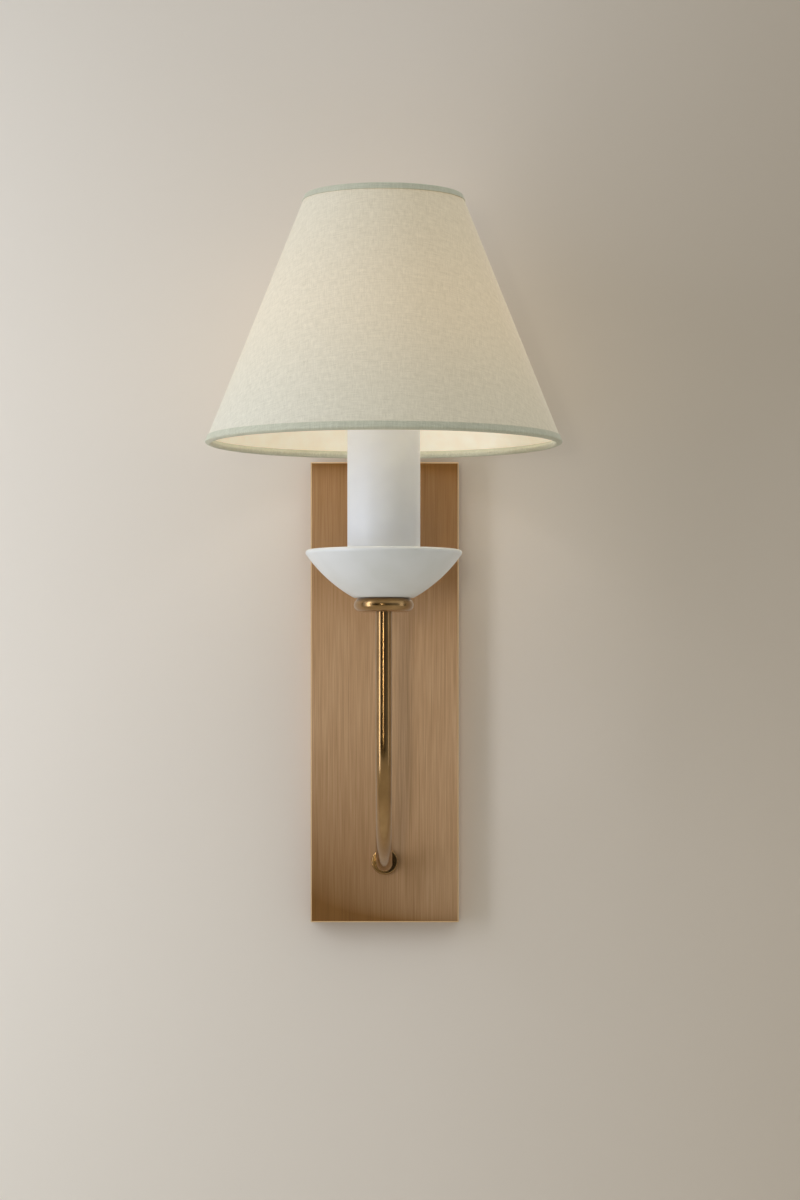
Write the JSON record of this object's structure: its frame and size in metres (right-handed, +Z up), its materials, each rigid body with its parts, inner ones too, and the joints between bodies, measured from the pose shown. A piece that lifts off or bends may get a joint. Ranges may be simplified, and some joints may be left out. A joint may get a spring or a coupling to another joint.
{
  "type": "wall light",
  "caption": "Wall light: tall brass backplate, bent brass arm, white cup and candle sleeve, and a linen cone shade.",
  "frame": {"origin": "on the wall plane at the middle of the backplate, between the two box screw slots", "axes": "+Z up, +Y into the wall, +X to the right as seen from the room"},
  "size_m": [0.2757, 0.2902, 0.5703],
  "materials": {
    "brushed_brass": "aged, brushed along its height",
    "satin_brass": "aged, satin polished",
    "white_metal": "matte white paint",
    "linen": "pale sage linen",
    "lining": "warm white lining laminate",
    "tape": "self-fabric tape, sage",
    "zinc_steel": "zinc plated",
    "green_steel": "green passivated",
    "bright_brass": "bright",
    "copper": "bare copper",
    "phenolic": "moulded phenolic",
    "black_wire": "insulation",
    "white_wire": "insulation",
    "connector": "moulded",
    "wire_white": "white coated wire",
    "lamp_glass": "frosted, lit from inside",
    "clear_glass": "clear",
    "black_glass": "black glass",
    "nickel": "nickel plated",
    "light_strip": "glowing phosphor"
  },
  "bodies": {
    "root": {"mounting_bracket": "zinc_steel", "ground_screw": "green_steel", "ground_lead": "copper", "backplate": "brushed_brass", "plate_screws": "satin_brass", "arm_collar": "satin_brass", "arm_tube": "satin_brass", "foot_nipple": "zinc_steel", "foot_washer": "zinc_steel", "foot_lock_washer": "zinc_steel", "foot_nut": "zinc_steel", "cup_seat_ring": "satin_brass", "cup": "white_metal", "cup_spacer": "zinc_steel", "sleeve_disc": "zinc_steel", "cup_nut": "zinc_steel", "riser_pipe": "zinc_steel", "candle_sleeve": "white_metal", "sleeve_cap": "white_metal", "socket_base": "zinc_steel", "socket_body": "phenolic", "socket_shell": "bright_brass", "contact_leaf": "copper", "terminal_screws": "bright_brass", "shade_ring_nut": "phenolic", "live_lead": "black_wire", "neutral_lead": "white_wire", "wire_connectors": "connector"},
    "contact": {"centre_contact": "bright_brass"},
    "bulb": {"bulb_glass": "lamp_glass", "bulb_cap": "nickel", "bulb_insulator": "black_glass", "bulb_tip": "nickel", "bulb_stem": "clear_glass", "filament_wires": "nickel", "filaments": "light_strip"},
    "shade": {"shade_fabric": "linen", "shade_lining": "lining", "top_trim": "tape", "bottom_trim": "tape", "top_ring": "wire_white", "bottom_ring": "wire_white", "spider_arms": "wire_white", "fitter_ring": "wire_white"}
  },
  "joints": [
    {"name": "shade_turn", "type": "hinge", "parent": "root", "child": "shade", "pos_m": [0, -0.1524, 0.24], "axis": [0, 0, 1], "continuous": true},
    {"name": "contact_rise", "type": "slide", "parent": "root", "child": "contact", "axis": [0, 0, 1], "range_m": [0, 0.00363], "deforming": ["contact_leaf"]},
    {"name": "bulb_turn", "type": "hinge", "parent": "contact", "child": "bulb", "pos_m": [0, -0.1524, 0.25], "axis": [0, 0, 1], "range_deg": [0, 360]}
  ],
  "couplings": [
    {"joint": "bulb_turn", "follows": "contact_rise", "rad_per_m": 1730.9}
  ]
}
